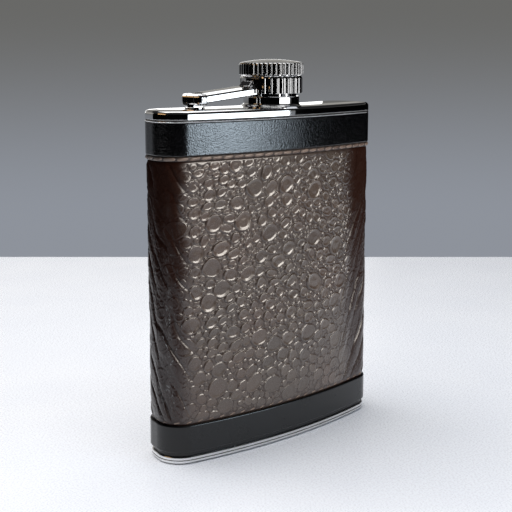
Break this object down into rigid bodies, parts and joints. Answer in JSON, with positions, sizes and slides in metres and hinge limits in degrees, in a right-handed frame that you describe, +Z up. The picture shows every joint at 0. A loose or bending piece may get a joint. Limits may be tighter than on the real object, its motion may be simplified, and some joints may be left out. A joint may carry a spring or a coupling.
{
  "type": "hip flask",
  "caption": "Curved steel pocket flask with an embossed leather wrap, leather bands, polished top and base, and a hinged captive screw cap.",
  "frame": {"origin": "middle of the bounding box, on the surface the flask stands on", "axes": "+Z up; width along X, hinge of the cap on the -X side; thickness along Y, bulging front towards -Y, hollowed back towards +Y"},
  "size_m": [0.0924, 0.0242, 0.1258],
  "materials": {
    "polished_steel": "mirror-polished stainless steel",
    "plain_steel": "plain stainless steel",
    "brown_leather": "dark brown leather embossed with a reptile scale pattern, semi-gloss",
    "welt_leather": "dark brown leather, folded edge",
    "black_leather_grained": "fine-grained black leather, satin",
    "black_leather_smooth": "smooth black leather, satin",
    "stitch_thread": "light brown waxed thread",
    "liner_rubber": "pale silicone"
  },
  "bodies": {
    "root": {"body_shell": "plain_steel", "base_plate": "polished_steel", "shoulder_plate": "polished_steel", "neck_spout": "plain_steel", "neck_collar": "polished_steel", "bottom_band": "black_leather_smooth", "leather_wrap": "brown_leather", "top_welt": "welt_leather", "top_band": "black_leather_grained", "top_stitching": "stitch_thread", "bottom_stitching": "stitch_thread", "rear_seam_stitching": "stitch_thread", "hinge_post": "polished_steel"},
    "lever": {"lever_arm": "polished_steel", "hinge_pin": "plain_steel", "swivel_collar": "polished_steel"},
    "cap_lift": {"retaining_ring": "plain_steel"},
    "cap": {"cap_shell": "polished_steel", "cap_liner": "liner_rubber"}
  },
  "joints": [
    {"name": "lever_swing", "type": "hinge", "parent": "root", "child": "lever", "pos_m": [-0.0323, -0.00166, 0.11385], "axis": [0, -1, 0], "range_deg": [0, 175]},
    {"name": "cap_climb", "type": "slide", "parent": "lever", "child": "cap_lift", "axis": [0, 0, 1], "range_m": [0, 0.003]},
    {"name": "cap_turn", "type": "hinge", "parent": "cap_lift", "child": "cap", "pos_m": [0, -0.00166, 0.118], "axis": [0, 0, 1], "range_deg": [0, 540]}
  ],
  "couplings": [
    {"joint": "cap_climb", "follows": "cap_turn", "m_per_rad": 0.000318}
  ]
}
